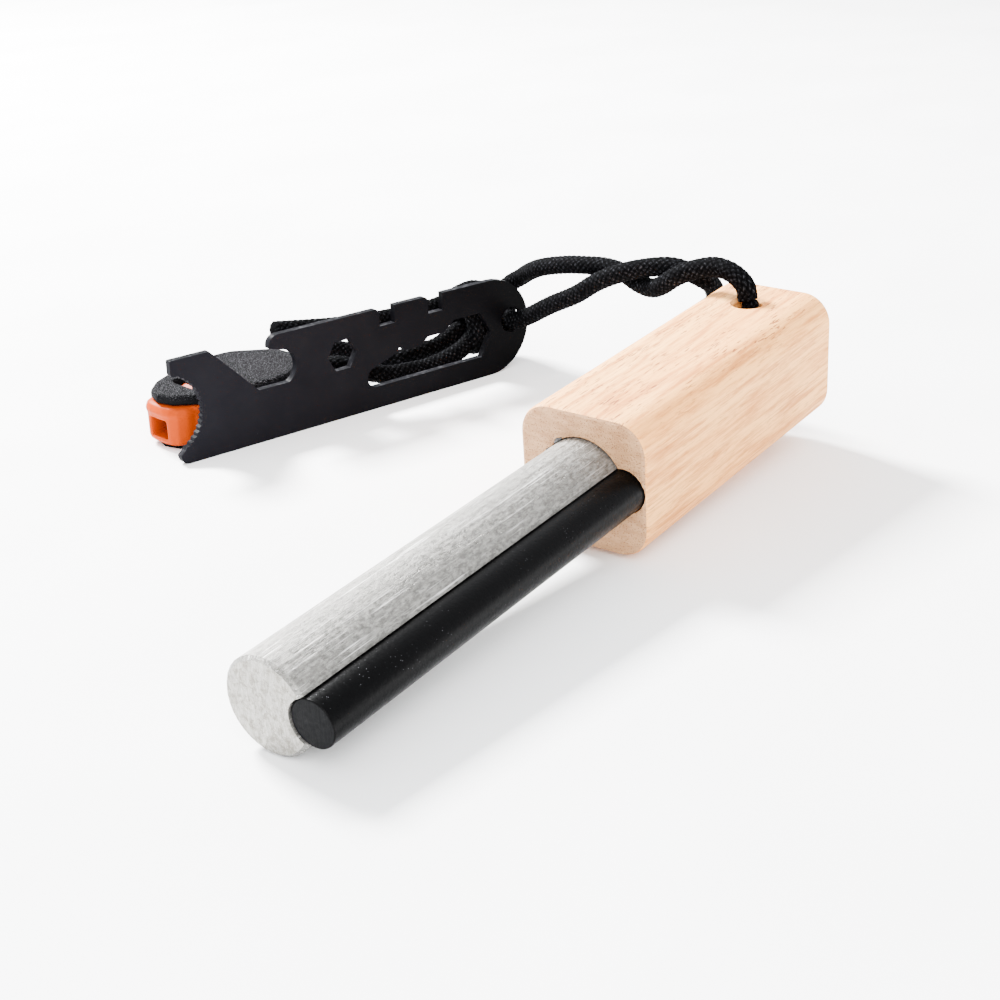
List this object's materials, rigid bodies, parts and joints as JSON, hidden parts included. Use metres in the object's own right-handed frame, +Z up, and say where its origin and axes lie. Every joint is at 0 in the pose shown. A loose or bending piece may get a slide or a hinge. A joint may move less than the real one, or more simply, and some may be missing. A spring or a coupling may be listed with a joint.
{
  "type": "ferro rod fire starter",
  "caption": "Fire starter: beech handle with a magnesium bar and a ferro rod, and a cord lanyard that carries a flat steel striker plate and a whistle.",
  "frame": {"origin": "on the floor, under the middle of everything but the cord", "axes": "+X along the handle towards the tips of the rods, +Z up, the striker plate and the whistle on the -Y side of the handle"},
  "size_m": [0.1615, 0.1202, 0.0376],
  "materials": {
    "beech": "sanded raw beech",
    "magnesium": "cast magnesium, pitted and scratched",
    "ferro": "gloss black paint",
    "epoxy": "cured glue",
    "steel": "satin black coating",
    "cord": "braided nylon",
    "orange": "satin moulded plastic",
    "shell": "fine matte texture"
  },
  "bodies": {
    "handle": {"handle_block": "beech", "magnesium_bar": "magnesium", "ferro_rod": "ferro", "glue_bed": "epoxy"},
    "lanyard": {"cord_top_strand": "cord", "cord_in_handle": "cord", "cord_under_strand": "cord", "cord_knot": "cord", "cord_tail": "cord", "cord_whistle_loop": "cord"},
    "striker": {"striker_plate": "steel"},
    "whistle": {"whistle_core": "orange", "whistle_top_shell": "shell", "whistle_bottom_shell": "shell"}
  },
  "joints": [
    {"name": "lanyard_swing", "type": "hinge", "parent": "handle", "child": "lanyard", "pos_m": [-0.06029, 0.0474, 0.01762], "axis": [0, 0, 1], "range_deg": [-120, 15]},
    {"name": "striker_swing", "type": "hinge", "parent": "lanyard", "child": "striker", "pos_m": [-0.07435, -0.02016, 0.0117], "axis": [0, 0, 1], "range_deg": [0, 10]},
    {"name": "whistle_swing", "type": "hinge", "parent": "lanyard", "child": "whistle", "pos_m": [-0.03647, -0.04639, 0.0056], "axis": [0, 0, 1], "range_deg": [-15, 0]}
  ]
}
